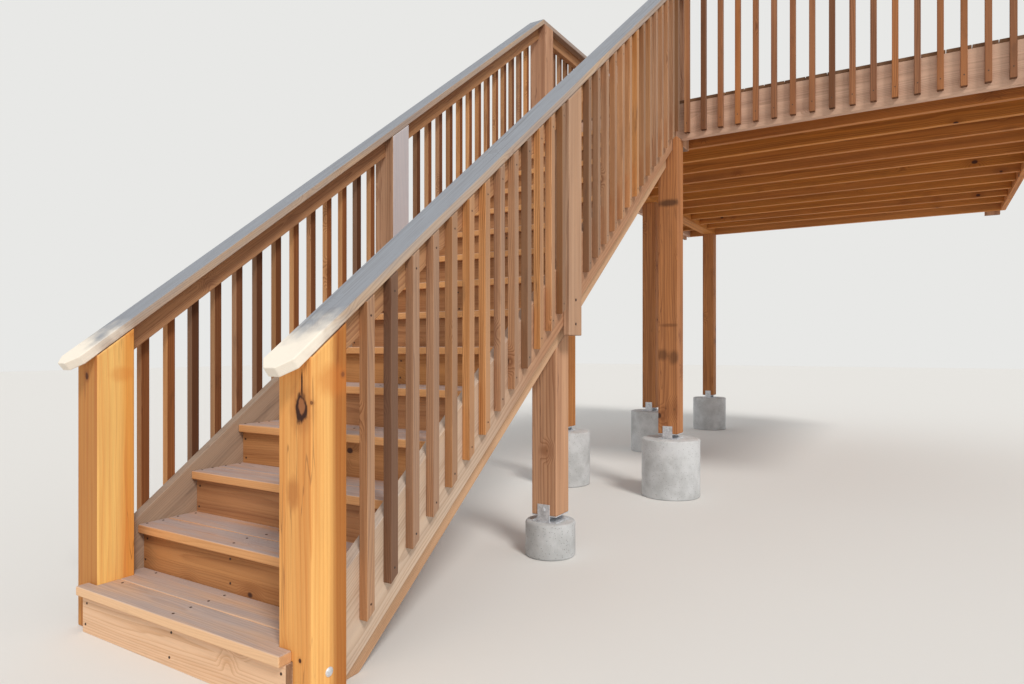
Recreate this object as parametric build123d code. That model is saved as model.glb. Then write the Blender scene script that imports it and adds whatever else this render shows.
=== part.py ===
from build123d import *
import math
import os

# Wooden deck stairs: one straight flight with closed risers and a guard on each side, and the
# deck that it climbs to, bolted to a house wall by its ledger. All sizes are in millimetres.
# X runs across the flight, Y along the climb and Z up. While the pieces are drawn, X is 0 in the
# middle of the flight, Y at the front of the bottom tread and Z on the floor. Each piece is then
# written with the origin in the middle of the ledger's face against the wall.

# Steps
RISE = 193.7
GOING = 254.0
RISES = 16
TREAD_THICKNESS = 38.0
TREAD_BOARD = 139.0
TREAD_GAP = 3.0
RISER_THICKNESS = 25.0
FLIGHT_WIDTH = 1214.0

# Planks on edge: stringers, skirts, rims, joists and rails
PLANK = 51.0
STRINGER_DEPTH = 305.0
SKIRT_DEPTH = 286.0
SKIRT_ABOVE_NOSINGS = 30.0
RIM_DEPTH = 280.0
JOIST_DEPTH = 254.0
RAIL_DEPTH = 95.0

# Posts
POST = 152.4
POST_TO_MID_POST = 1645.0
SUPPORT_BEHIND_MID_POST = 15.0
MID_POST_DROP = 379.0
POST_BELOW_RIM = 44.0
BEAM_INBOARD = 260.0
MIDDLE_POST_FROM_FRONT = 2085.0

# Guards
CAP_WIDTH = 140.0
CAP_THICKNESS = 38.0
CAP_BEFORE_NEWEL = 102.0
CAP_CLIP = 45.0
STAIR_GUARD_HEIGHT = 892.0
BALUSTER = 38.0
BALUSTER_PITCH = 127.0
FIRST_BALUSTER_GAP = 95.0
LAST_BALUSTER_GAP = 45.0
STAIR_BALUSTER_DROP = 205.0
RIM_BELOW_BALUSTERS = 38.0
CORNER_BALUSTER_GAP = 35.0

# Deck
DECK_LENGTH = 4680.0
DECK_BEYOND_FLIGHT = 2543.0
DECKING = 25.0
DECK_BOARD = 139.0
DECK_BOARD_GAP = 4.0
JOIST_SPACING = 386.0

# Piers and post bases
DECK_PIER_RADIUS = 225.0
DECK_PIER_TOP = 450.0
SUPPORT_PIER_RADIUS = 140.0
SUPPORT_PIER_TOP = 194.0
BASE_STANDOFF = 40.0
BASE_STEEL = 6.0
BASE_CHEEK = 60.0
BASE_CHEEK_WIDTH = 76.0

SLOPE = RISE / GOING
COS = 1 / math.hypot(1, SLOPE)
SIN = SLOPE * COS
NOSING = 2 * TREAD_BOARD + TREAD_GAP - GOING
RISER_BACK = NOSING + RISER_THICKNESS
TREAD_END = FLIGHT_WIDTH / 2
SKIRT_FACE = TREAD_END + PLANK
POST_OUT = SKIRT_FACE + BALUSTER
POST_IN = POST_OUT - POST
CAP_OUT = (POST_OUT + POST_IN + CAP_WIDTH) / 2
CAP_IN = CAP_OUT - CAP_WIDTH

DECK_TOP = RISES * RISE
DECK_FRONT = (RISES - 1) * GOING
DECK_BACK = DECK_FRONT + DECK_LENGTH
DECK_LEFT = -SKIRT_FACE
WALL = TREAD_END + DECK_BEYOND_FLIGHT
FRAME_TOP = DECK_TOP - DECKING
FRAME_BOTTOM = FRAME_TOP - RIM_DEPTH

STRINGER_BELOW = TREAD_THICKNESS + RISER_BACK * SLOPE + STRINGER_DEPTH / COS
SKIRT_BELOW = SKIRT_DEPTH / COS - SKIRT_ABOVE_NOSINGS

NEWEL = (RISER_BACK, RISER_BACK + POST)
MID_POST = (NEWEL[1] + POST_TO_MID_POST, NEWEL[1] + POST_TO_MID_POST + POST)
TOP_POST = (DECK_FRONT + PLANK, DECK_FRONT + PLANK + POST)
LEDGER = (WALL - PLANK, WALL)
BEAM = (DECK_LEFT + BEAM_INBOARD, DECK_LEFT + BEAM_INBOARD + POST)


def on_line(y, above=0.0):
    """Height over y of a line parallel to the nosings and this far above them."""
    return RISE + y * SLOPE + above


def y_at(z, above=0.0):
    """Where along Y that line is at height z."""
    return (z - RISE - above) / SLOPE


# The level guards stand where the stair guards reach the top posts, and the caps meet in a mitre
GUARD_TOP = on_line(TOP_POST[0], STAIR_GUARD_HEIGHT)
MITRE = y_at(GUARD_TOP + CAP_THICKNESS, STAIR_GUARD_HEIGHT + CAP_THICKNESS / COS)


def block(x, y, z):
    """A board or post between the low and high values of each axis."""
    sizes = (x[1] - x[0], y[1] - y[0], z[1] - z[0])
    middle = ((x[0] + x[1]) / 2, (y[0] + y[1]) / 2, (z[0] + z[1]) / 2)
    return Pos(*middle) * Box(*sizes)


def side_view(outline, x):
    """A solid between two values of X whose side view is an outline of (y, z) points."""
    face = make_face(Polyline(*[(x[0], y, z) for y, z in outline], close=True))
    return extrude(face, amount=x[1] - x[0], dir=(1, 0, 0))


def on_side(side, low, high):
    """The X range of a piece on the left (-1) or right (1) side of the flight."""
    return (low, high) if side > 0 else (-high, -low)


def sloped(y, bottom, top):
    """Outline of a piece whose lower and upper edges run parallel to the nosings."""
    return [
        (y[0], on_line(y[0], bottom)),
        (y[0], on_line(y[0], top)),
        (y[1], on_line(y[1], top)),
        (y[1], on_line(y[1], bottom)),
    ]


def cut_to_slope(y, level, slope):
    """Outline between a level edge and an edge parallel to the nosings."""
    return [(y[0], level), (y[0], on_line(y[0], slope)), (y[1], on_line(y[1], slope)), (y[1], level)]


def spaced(first, last):
    """Middles of balusters from the first to the last, at about the usual pitch."""
    spaces = max(1, round((last - first) / BALUSTER_PITCH))
    return [first + (last - first) * number / spaces for number in range(spaces + 1)]


def save(name, *solids):
    """Write one node, set out from the middle of the ledger's face against the wall."""
    origin = Pos(-WALL, -(DECK_FRONT + DECK_BACK) / 2, -(FRAME_BOTTOM + FRAME_TOP) / 2)
    placed = [origin * solid for solid in solids]
    shape = placed[0] if len(placed) == 1 else Compound(children=placed)
    export_step(shape, f"parts/{name}.step")


def stringer(x):
    """A plank cut out for every step, level at the floor and upright against the deck."""
    outline = [(RISER_BACK, 0.0)]
    for step in range(1, RISES):
        riser_back = (step - 1) * GOING + RISER_BACK
        seat = step * RISE - TREAD_THICKNESS
        outline.append((riser_back, seat))
        outline.append((min(riser_back + GOING, DECK_FRONT), seat))
    outline.append((DECK_FRONT, on_line(DECK_FRONT, -STRINGER_BELOW)))
    outline.append((y_at(0.0, -STRINGER_BELOW), 0.0))
    return side_view(outline, x)


def skirt(side):
    """The straight plank outside a stringer, from the newel up to the deck."""
    x = on_side(side, TREAD_END, SKIRT_FACE)
    y = (NEWEL[1], DECK_FRONT)
    plank = side_view(sloped(y, -SKIRT_BELOW, SKIRT_ABOVE_NOSINGS), x)
    return plank & block(x, y, (0.0, DECK_TOP))


def tread_boards(step):
    """The front board of a tread, with the nosing, and the board behind it."""
    front = (step - 1) * GOING
    seam = front + TREAD_BOARD
    width = (-TREAD_END, TREAD_END)
    height = (step * RISE - TREAD_THICKNESS, step * RISE)
    back = (seam + TREAD_GAP, min(seam + TREAD_GAP + TREAD_BOARD, DECK_FRONT))
    return block(width, (front, seam), height), block(width, back, height)


def notched_tread_boards():
    """The bottom tread, which laps the front of both newels and is notched round them."""
    boards = tread_boards(1)
    for side in (-1, 1):
        notch = block(on_side(side, POST_IN, POST_OUT), NEWEL, (0.0, DECK_TOP))
        boards = [board - notch for board in boards]
    return boards


def riser(step):
    """The board that closes the front of a step and stands behind the nosing of its tread."""
    front = (step - 1) * GOING + NOSING
    height = ((step - 1) * RISE, step * RISE - TREAD_THICKNESS)
    return block((-TREAD_END, TREAD_END), (front, front + RISER_THICKNESS), height)


def newel(side):
    """The bottom post, cut away over the stringer's foot, with its top cut to the slope."""
    outline = cut_to_slope(NEWEL, 0.0, STAIR_GUARD_HEIGHT)
    post = side_view(outline, on_side(side, POST_IN, POST_OUT))
    return post - block(on_side(side, POST_IN, TREAD_END), NEWEL, (0.0, RISE - TREAD_THICKNESS))


def mid_post(side):
    """A guard post cut away over the skirt, so that its outer part hangs below the skirt."""
    foot = on_line(MID_POST[0], -MID_POST_DROP)
    outline = cut_to_slope(MID_POST, foot, STAIR_GUARD_HEIGHT)
    post = side_view(outline, on_side(side, POST_IN, POST_OUT))
    seat = cut_to_slope(MID_POST, foot, SKIRT_ABOVE_NOSINGS)
    return post - side_view(seat, on_side(side, POST_IN, SKIRT_FACE))


def deck_guard_post(x, y, lap_x=None, lap_y=None):
    """A post of the deck's guard, cut away below the decking where it laps over a rim."""
    low = FRAME_BOTTOM - POST_BELOW_RIM
    post = block(x, y, (low, GUARD_TOP))
    if lap_x or lap_y:
        post = post - block(lap_x or x, lap_y or y, (low, DECK_TOP))
    return post


def stair_cap(side):
    """The plank on a stair guard, cut square and clipped at its lower end and mitred at its upper end."""
    start = NEWEL[0] - CAP_BEFORE_NEWEL
    top = on_line(start, STAIR_GUARD_HEIGHT + CAP_THICKNESS / COS)
    outline = [
        (start + CAP_THICKNESS * SIN, top - CAP_THICKNESS * COS),
        (start, top),
        (MITRE, GUARD_TOP + CAP_THICKNESS),
        (TOP_POST[0], GUARD_TOP),
    ]
    cap = side_view(outline, on_side(side, CAP_IN, CAP_OUT))
    for edge, inward in ((CAP_IN, CAP_CLIP), (CAP_OUT, -CAP_CLIP)):
        corner = [
            (side * edge, start, top),
            (side * (edge + inward), start, top),
            (side * edge, start + CAP_CLIP * COS, top + CAP_CLIP * SIN),
        ]
        clip = make_face(Polyline(*corner, close=True))
        cap = cap - extrude(clip, amount=2 * CAP_THICKNESS, dir=(0, SIN, -COS), both=True)
    return cap


def level_cap(side, back):
    """The level cap behind a stair cap, starting at the mitre."""
    outline = [
        (TOP_POST[0], GUARD_TOP),
        (MITRE, GUARD_TOP + CAP_THICKNESS),
        (back, GUARD_TOP + CAP_THICKNESS),
        (back, GUARD_TOP),
    ]
    return side_view(outline, on_side(side, CAP_IN, CAP_OUT))


def stair_rail(side, y):
    """The rail on edge under the cap, between two posts."""
    outline = sloped(y, STAIR_GUARD_HEIGHT - RAIL_DEPTH / COS, STAIR_GUARD_HEIGHT)
    return side_view(outline, on_side(side, TREAD_END, SKIRT_FACE))


def stair_baluster(side, middle):
    """A square bar outside the skirt and rail, with its top and bottom cut to the slope."""
    y = (middle - BALUSTER / 2, middle + BALUSTER / 2)
    outline = sloped(y, -STAIR_BALUSTER_DROP, STAIR_GUARD_HEIGHT)
    return side_view(outline, on_side(side, SKIRT_FACE, POST_OUT))


def deck_post(x, y):
    """A square post from its base up to the underside of the deck's frame."""
    height = (DECK_PIER_TOP + BASE_STANDOFF, FRAME_BOTTOM)
    return block((x - POST / 2, x + POST / 2), (y - POST / 2, y + POST / 2), height)


def pier(x, y, radius, top):
    """A round concrete pier from the lowest floor up to a post's base."""
    return Pos(x, y, top / 2) * Cylinder(radius, top)


def post_base(x, y, pier_top):
    """A steel saddle that holds a post off its pier, with a cheek on its front and back."""
    half = POST / 2
    seat = pier_top + BASE_STANDOFF
    across = (x - half, x + half)
    along = (y - half, y + half)
    saddle = block(across, along, (seat - BASE_STEEL, seat))
    saddle = saddle + block(across, along, (pier_top, pier_top + BASE_STEEL))
    cheek = (x - BASE_CHEEK_WIDTH / 2, x + BASE_CHEEK_WIDTH / 2)
    for low in (along[0] - BASE_STEEL, along[1]):
        saddle = saddle + block(cheek, (low, low + BASE_STEEL), (pier_top, seat + BASE_CHEEK))
    return saddle


os.makedirs("parts", exist_ok=True)

# Flight
save("left_stringer", stringer((-TREAD_END, PLANK - TREAD_END)))
save("middle_stringer", stringer((-PLANK / 2, PLANK / 2)))
save("right_stringer", stringer((TREAD_END - PLANK, TREAD_END)))
save("bottom_tread", *notched_tread_boards())
save("bottom_riser", riser(1))
save("tread_front_boards", *[tread_boards(step)[0] for step in range(2, RISES)])
save("tread_back_boards", *[tread_boards(step)[1] for step in range(2, RISES)])
save("risers", *[riser(step) for step in range(2, RISES)])

# Stair guards: on each side, balusters in a lower and an upper bay
lower_bay = (NEWEL[1], MID_POST[0])
upper_bay = (MID_POST[1], TOP_POST[0])
first_bar = FIRST_BALUSTER_GAP + BALUSTER / 2
last_bar = LAST_BALUSTER_GAP + BALUSTER / 2
stair_bars = spaced(lower_bay[0] + first_bar, lower_bay[1] - last_bar)
stair_bars += spaced(upper_bay[0] + first_bar, DECK_FRONT - 1.5 * BALUSTER)
support_y = (MID_POST[0] + SUPPORT_BEHIND_MID_POST, MID_POST[1] + SUPPORT_BEHIND_MID_POST)
support_outline = cut_to_slope(support_y, SUPPORT_PIER_TOP + BASE_STANDOFF, -STRINGER_BELOW)
for side, hand in ((-1, "left"), (1, "right")):
    save(f"{hand}_skirt", skirt(side))
    save(f"{hand}_newel", newel(side))
    save(f"{hand}_mid_post", mid_post(side))
    save(f"{hand}_stair_cap", stair_cap(side))
    save(f"{hand}_stair_rails", stair_rail(side, lower_bay), stair_rail(side, upper_bay))
    save(f"{hand}_stair_balusters", *[stair_baluster(side, middle) for middle in stair_bars])
    save(f"{hand}_flight_support", side_view(support_outline, on_side(side, TREAD_END - POST, TREAD_END)))

# Deck frame
frame = (FRAME_BOTTOM, FRAME_TOP)
inside = (DECK_FRONT + PLANK, DECK_BACK - PLANK)
left_rim = (DECK_LEFT, DECK_LEFT + PLANK)
save("front_rim", block((DECK_LEFT, WALL), (DECK_FRONT, inside[0]), frame))
save("rear_rim", block((DECK_LEFT, WALL), (inside[1], DECK_BACK), frame))
save("left_rim", block(left_rim, inside, frame))
save("house_ledger", block(LEDGER, inside, frame))
save("edge_beam", block(BEAM, inside, frame))
joist_height = (FRAME_TOP - JOIST_DEPTH, FRAME_TOP)
joist_count = int((DECK_LENGTH - 2 * PLANK) // JOIST_SPACING)
joist_middles = [DECK_FRONT + number * JOIST_SPACING for number in range(1, joist_count + 1)]
joist_rows = [(middle - PLANK / 2, middle + PLANK / 2) for middle in joist_middles]
joist_spans = ((BEAM[1], LEDGER[0]), (left_rim[1], BEAM[0]))
save("joists", *[block(span, row, joist_height) for span in joist_spans for row in joist_rows])

# Guard posts of the deck
left_post_x = (-POST_OUT, -POST_IN)
left_lap = (DECK_LEFT, -POST_IN)
middle_joist = joist_rows[joist_count // 2 - 1]
left_guard_post = (middle_joist[1], middle_joist[1] + POST)
rear_left_post = (inside[1] - POST, inside[1])
wall_post_x = (LEDGER[0] - POST, LEDGER[0])
front_wall_post = (DECK_FRONT - BALUSTER, DECK_FRONT - BALUSTER + POST)
rear_wall_post = (DECK_BACK + BALUSTER - POST, DECK_BACK + BALUSTER)
save("left_top_post", deck_guard_post(left_post_x, TOP_POST, lap_x=left_lap))
save("right_top_post", deck_guard_post((POST_IN, POST_OUT), TOP_POST))
save("left_guard_post", deck_guard_post(left_post_x, left_guard_post, lap_x=left_lap))
save("rear_left_guard_post", deck_guard_post(left_post_x, rear_left_post, lap_x=left_lap))
save("front_wall_post", deck_guard_post(wall_post_x, front_wall_post, lap_y=(DECK_FRONT, front_wall_post[1])))
save("rear_wall_post", deck_guard_post(wall_post_x, rear_wall_post, lap_y=(rear_wall_post[0], DECK_BACK)))

# Decking, notched round the right top post
board_count = round((WALL - DECK_LEFT + DECK_BOARD_GAP) / (DECK_BOARD + DECK_BOARD_GAP))
board_pitch = (WALL - DECK_LEFT + DECK_BOARD_GAP) / board_count
post_hole = block((POST_IN, POST_OUT), TOP_POST, (FRAME_TOP, DECK_TOP))
deck_boards = []
for number in range(board_count):
    left = DECK_LEFT + number * board_pitch
    right = left + board_pitch - DECK_BOARD_GAP
    board = block((left, right), (DECK_FRONT, DECK_BACK), (FRAME_TOP, DECK_TOP))
    deck_boards.append(board - post_hole if right > POST_IN and left < POST_OUT else board)
save("deck_boards", *deck_boards)

# Guards of the deck
rail_height = (GUARD_TOP - RAIL_DEPTH, GUARD_TOP)
bar_height = (FRAME_BOTTOM + RIM_BELOW_BALUSTERS, GUARD_TOP)
cap_height = (GUARD_TOP, GUARD_TOP + CAP_THICKNESS)
cap_lip = CAP_OUT - POST_OUT
front_cap = (front_wall_post[0] - cap_lip, front_wall_post[0] - cap_lip + CAP_WIDTH)
rear_cap = (rear_wall_post[1] + cap_lip - CAP_WIDTH, rear_wall_post[1] + cap_lip)
save("front_guard_cap", block((CAP_OUT, WALL), front_cap, cap_height))
save("rear_guard_cap", block((-CAP_IN, WALL), rear_cap, cap_height))
save("left_guard_cap", level_cap(-1, rear_cap[1]))
save("right_post_cap", level_cap(1, TOP_POST[1] + cap_lip))

left_bays = [(TOP_POST[1], left_guard_post[0]), (left_guard_post[1], rear_left_post[0])]
front_rail_y = (DECK_FRONT, inside[0])
under_cap = sloped(front_rail_y, STAIR_GUARD_HEIGHT, STAIR_GUARD_HEIGHT + CAP_THICKNESS / COS)
front_rail = block((SKIRT_FACE, wall_post_x[0]), front_rail_y, rail_height)
save("front_guard_rail", front_rail - side_view(under_cap, (SKIRT_FACE, CAP_OUT)))
save("rear_guard_rail", block((DECK_LEFT, wall_post_x[0]), (inside[1], DECK_BACK), rail_height))
save("left_guard_rails", *[block(left_rim, bay, rail_height) for bay in left_bays])

half_bar = BALUSTER / 2
front_bars = spaced(POST_OUT + CORNER_BALUSTER_GAP + half_bar, wall_post_x[0] - half_bar)
rear_bars = spaced(DECK_LEFT + half_bar, wall_post_x[0] - half_bar)
left_bars = [middle for bay in left_bays for middle in spaced(*bay)[1:-1]]
save("front_guard_balusters", *[
    block((middle - half_bar, middle + half_bar), (DECK_FRONT - BALUSTER, DECK_FRONT), bar_height)
    for middle in front_bars
])
save("rear_guard_balusters", *[
    block((middle - half_bar, middle + half_bar), (DECK_BACK, DECK_BACK + BALUSTER), bar_height)
    for middle in rear_bars
])
save("left_guard_balusters", *[
    block((-POST_OUT, DECK_LEFT), (middle - half_bar, middle + half_bar), bar_height)
    for middle in left_bars
])

# Posts under the deck; the front right one is cut away under the stringer and the skirt
beam_middle = (BEAM[0] + BEAM[1]) / 2
front_row = inside[0] - POST / 2
deck_posts = {
    "front_left_post": (beam_middle, front_row),
    "front_right_post": ((POST_IN + POST_OUT) / 2, front_row),
    "middle_left_post": (beam_middle, DECK_FRONT + MIDDLE_POST_FROM_FRONT + POST / 2),
    "rear_left_post": (beam_middle, DECK_BACK - POST / 2),
}
before_rim = (inside[0] - POST, DECK_FRONT)
under_stringer = side_view(cut_to_slope(before_rim, FRAME_TOP, -STRINGER_BELOW), (POST_IN, TREAD_END))
under_skirt = side_view(cut_to_slope(before_rim, FRAME_TOP, -SKIRT_BELOW), (TREAD_END, SKIRT_FACE))
for name, (x, y) in deck_posts.items():
    post = deck_post(x, y)
    if name == "front_right_post":
        post = post - under_stringer - under_skirt
    save(name, post)

# Bases and piers
support_x = TREAD_END - POST / 2
supports = [(side * support_x, (support_y[0] + support_y[1]) / 2) for side in (-1, 1)]
deck_places = list(deck_posts.values())
bases = [post_base(x, y, DECK_PIER_TOP) for x, y in deck_places]
bases += [post_base(x, y, SUPPORT_PIER_TOP) for x, y in supports]
piers = [pier(x, y, DECK_PIER_RADIUS, DECK_PIER_TOP) for x, y in deck_places]
piers += [pier(x, y, SUPPORT_PIER_RADIUS, SUPPORT_PIER_TOP) for x, y in supports]
save("post_bases", *bases)
save("piers", *piers)
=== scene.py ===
# %% [markdown]
# A flight of wooden deck stairs with a guard on each side, and the deck that it climbs to. The
# boards could be drawn again here, but the frame gives each its true place, so it is loaded first
# and never moved. This lesson adds eased edges, grain, weather, nails and bolts.

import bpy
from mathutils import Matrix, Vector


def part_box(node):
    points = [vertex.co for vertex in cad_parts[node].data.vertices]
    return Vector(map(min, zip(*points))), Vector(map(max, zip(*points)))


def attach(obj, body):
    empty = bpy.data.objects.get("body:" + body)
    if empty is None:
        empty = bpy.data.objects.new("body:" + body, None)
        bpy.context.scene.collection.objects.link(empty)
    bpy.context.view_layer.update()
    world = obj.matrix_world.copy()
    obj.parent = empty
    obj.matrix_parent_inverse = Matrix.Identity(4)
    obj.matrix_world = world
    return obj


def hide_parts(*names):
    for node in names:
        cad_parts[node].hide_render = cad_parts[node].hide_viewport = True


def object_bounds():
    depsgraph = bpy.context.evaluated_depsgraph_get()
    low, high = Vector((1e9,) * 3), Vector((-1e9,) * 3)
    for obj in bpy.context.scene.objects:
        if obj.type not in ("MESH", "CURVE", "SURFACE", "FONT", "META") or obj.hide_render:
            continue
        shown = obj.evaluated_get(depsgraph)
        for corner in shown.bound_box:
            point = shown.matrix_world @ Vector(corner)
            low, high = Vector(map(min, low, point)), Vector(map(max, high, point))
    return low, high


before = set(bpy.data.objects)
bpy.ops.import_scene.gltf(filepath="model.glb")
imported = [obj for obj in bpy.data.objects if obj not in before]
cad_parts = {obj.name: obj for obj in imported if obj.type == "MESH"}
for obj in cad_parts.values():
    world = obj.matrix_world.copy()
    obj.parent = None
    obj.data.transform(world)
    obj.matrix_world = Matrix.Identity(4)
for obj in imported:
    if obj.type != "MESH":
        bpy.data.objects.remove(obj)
frame_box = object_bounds()
print("Frame:", len(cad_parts), "nodes, from", list(frame_box[0]), "to", list(frame_box[1]))

# %% [markdown]
# The stairs are looked at from their right, at chest height, through a wide lens that takes in
# the whole flight. The camera could be tilted up to the deck, but the posts would then lean, so
# it stays level and a small shift lifts the view.

# %% Camera
import math

import bpy

bpy.ops.object.select_all(action="DESELECT")
bpy.ops.object.camera_add(
    location=(-0.825, -7.579, -1.7802), rotation=(math.radians(90), 0, math.radians(31.27))
)
camera = bpy.context.object
camera.data.sensor_width = 36
camera.data.lens = 23.86
camera.data.shift_y = 0.0063
camera.data.clip_end = 200
bpy.context.scene.camera = camera
print("Camera", camera.data.lens, "mm, at", list(camera.location))

# %% [markdown]
# The stairs stand on a plain pale floor. A backdrop that curves up behind would do too, but one
# flat sheet keeps a clear shadow from every side. Colours are written as they are read from a
# screen, and a helper turns them into Blender's own values.

# %% Floor
FLOOR_SIZE = 80
FLOOR = frame_box[0].z


def srgb(red, green, blue):
    """A colour as it is read from a screen, from 0 to 255, as Blender's own linear values."""
    return tuple(((value / 255 + 0.055) / 1.055) ** 2.4 for value in (red, green, blue)) + (1,)


def new_finish(name):
    """A new material, its node tree and its shader."""
    material = bpy.data.materials.new(name)
    material.use_nodes = True
    return material, material.node_tree, material.node_tree.nodes["Principled BSDF"]


bpy.ops.mesh.primitive_plane_add(size=FLOOR_SIZE, location=(0, 0, FLOOR))
floor = bpy.context.object
floor.name = "floor"
floor_finish, _, floor_shader = new_finish("floor_finish")
floor_shader.inputs["Base Color"].default_value = srgb(226, 225, 222)
floor_shader.inputs["Roughness"].default_value = 0.9
floor.data.materials.append(floor_finish)
print("Floor at", round(FLOOR, 4), "m")

# %% [markdown]
# The light is that of a bright day with thin cloud: an even world, and a broad sun at the front
# right that gives each step a soft shadow. A picture of a sky would tint the wood. The camera and
# shiny steel see a plain pale backdrop, picked out by Light Path so that it puts no more light on
# the wood.

# %% World and sun
WORLD_LIGHT, BACKDROP_LIGHT = 0.62, 1.0


def put(socket, value):
    """Sets a socket to a value, or links it to another socket."""
    if isinstance(value, bpy.types.NodeSocket):
        socket.id_data.links.new(value, socket)
    else:
        socket.default_value = value


def sum_of(tree, operation, first, second=0.0, third=0.0):
    """One Math node: its result."""
    node = tree.nodes.new("ShaderNodeMath")
    node.operation = operation
    for socket, value in zip(node.inputs, (first, second, third)):
        put(socket, value)
    return node.outputs[0]


world = bpy.context.scene.world or bpy.data.worlds.new("world")
bpy.context.scene.world = world
world.use_nodes = True
sky = world.node_tree
sky.nodes.clear()
rays = sky.nodes.new("ShaderNodeLightPath").outputs
mirrored = sum_of(sky, "MAXIMUM", rays["Is Glossy Ray"], rays["Is Transmission Ray"])
choice = sky.nodes.new("ShaderNodeMixShader")
put(choice.inputs[0], sum_of(sky, "MAXIMUM", rays["Is Camera Ray"], mirrored))
for number, colour, strength in (
    (1, (1, 1, 1, 1), WORLD_LIGHT), (2, srgb(232, 232, 230), BACKDROP_LIGHT),
):
    light = sky.nodes.new("ShaderNodeBackground")
    put(light.inputs["Color"], colour)
    put(light.inputs["Strength"], strength)
    put(choice.inputs[number], light.outputs[0])
put(sky.nodes.new("ShaderNodeOutputWorld").inputs["Surface"], choice.outputs[0])

bpy.ops.object.light_add(
    type="SUN", location=(4, -8, 6), rotation=(math.radians(46), 0, math.radians(56))
)
sun = bpy.context.object
sun.data.energy = 1.9
sun.data.angle = math.radians(14)
sun.data.color = (1, 0.965, 0.92)
bpy.context.scene.view_settings.view_transform = "Standard"
print("World", WORLD_LIGHT, "and sun", sun.data.energy)

# %% [markdown]
# Wood, weather and placed knots are patterns that many finishes share, so each is a node group
# with inputs for what differs. Its dozens of nodes could be set out in the node editor, but with
# helpers that add one node each, a pattern reads from top to bottom like a sum.

# %% Helpers for node groups
def new_group(name, takes, gives):
    """A node group, what its inputs bring in, and the sockets that it gives out."""
    group = bpy.data.node_groups.new(name, "ShaderNodeTree")
    for way, sockets in (("INPUT", takes), ("OUTPUT", gives)):
        for kind, titles in sockets.items():
            for title in titles:
                group.interface.new_socket(title, in_out=way, socket_type="NodeSocket" + kind)
    brought, given = group.nodes.new("NodeGroupInput"), group.nodes.new("NodeGroupOutput")
    return group, brought.outputs, given.inputs


def vector_of(tree, operation, first, second=(0, 0, 0)):
    """One Vector Math node: its vector."""
    node = tree.nodes.new("ShaderNodeVectorMath")
    node.operation = operation
    put(node.inputs[0], first)
    put(node.inputs[1], second)
    return node.outputs["Value" if operation == "LENGTH" else "Vector"]


def eased(tree, value, low, high, at_low=0.0, at_high=1.0):
    """A smooth step from at_low to at_high while the value goes from low to high."""
    node = tree.nodes.new("ShaderNodeMapRange")
    node.interpolation_type = "SMOOTHSTEP"
    for socket, number in zip(node.inputs, (value, low, high, at_low, at_high)):
        put(socket, number)
    return node.outputs["Result"]


def cloudy(tree, place, scale, detail=2.0, roughness=0.5, output="Fac"):
    """One Noise Texture node: its clouds."""
    node = tree.nodes.new("ShaderNodeTexNoise")
    put(node.inputs["Vector"], place)
    put(node.inputs["Scale"], scale)
    put(node.inputs["Detail"], detail)
    put(node.inputs["Roughness"], roughness)
    return node.outputs[output]


def grained(tree, place, along, across, detail=2.0, roughness=0.5):
    """Clouds drawn out along the grain: so many to a metre along it and across it."""
    drawn_out = vector_of(tree, "MULTIPLY", place, (along, across, across))
    return cloudy(tree, drawn_out, 1.0, detail, roughness)


def cells(tree, place, scale):
    """One Voronoi Texture node."""
    node = tree.nodes.new("ShaderNodeTexVoronoi")
    put(node.inputs["Vector"], place)
    put(node.inputs["Scale"], scale)
    return node


def blended(tree, share, first, second, way="MIX"):
    """A Mix node for colours."""
    node = tree.nodes.new("ShaderNodeMix")
    node.data_type = "RGBA"
    node.blend_type = way
    put(node.inputs["Factor"], share)
    put(node.inputs[6], first)
    put(node.inputs[7], second)
    return node.outputs[2]


print("Helpers ready")

# %% [markdown]
# Every board is sawn from a log, and its pattern is the log's rings, which wander a little. A
# picture of planks would break at the corners, so the pattern is solid and runs over faces, edges
# and cut ends. Each point says where it was in its log, in metres with X along the grain.

# %% Rings of the log
RING_STRETCH = (0.16, 1, 1)  # rings change slowly along the grain
RING_WANDER = 0.06  # metres that a ring strays from its circle
UNEVEN_YEARS = 0.012  # metres by which good and bad years move a ring

timber, wood_in, wood_out = new_group(
    "sawn_timber",
    {
        "Vector": ["Place"], "Color": ["Pale", "Deep", "Knot", "Odd"],
        "Float": ["Ring spacing", "Ring depth", "Tone", "Variety", "Odd share", "Knotty",
                  "Checks", "Stain", "End"],
    },
    {"Color": ["Color"], "Float": ["Roughness", "Height"]},
)
log_place = wood_in["Place"]
stretched = vector_of(timber, "MULTIPLY", log_place, RING_STRETCH)
stray = cloudy(timber, stretched, 4.0, output="Color")
stray = vector_of(timber, "SUBTRACT", stray, (0.5, 0.5, 0.5))
stray = vector_of(timber, "MULTIPLY", stray, (RING_WANDER, RING_WANDER, RING_WANDER))
strayed = vector_of(timber, "ADD", stretched, stray)
from_heart = vector_of(timber, "LENGTH", vector_of(timber, "MULTIPLY", strayed, (0, 1, 1)))
years = grained(timber, log_place, 1.2, 24, 2.0, 0.6)
from_heart = sum_of(timber, "MULTIPLY_ADD", years, UNEVEN_YEARS, from_heart)
print("Rings that wander by", RING_WANDER, "m")

# %% [markdown]
# A knot is the root of a branch, and the rings bend round it. Knots could be placed one by one,
# but there are hundreds of boards. A Voronoi texture divides the log into cells instead, and the
# Knotty share of them gets one knot each, of a size of its own.

# %% Knots of the log
KNOT_CELLS = (2.4, 6.5, 6.5)  # to a metre, along the grain and across it
KNOT_SHAPE = (0.3, 0.154, 0.154)  # back to metres, with a knot longer along the grain
SMALLEST_KNOT, KNOT_RANGE = 0.01, 0.012

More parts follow.
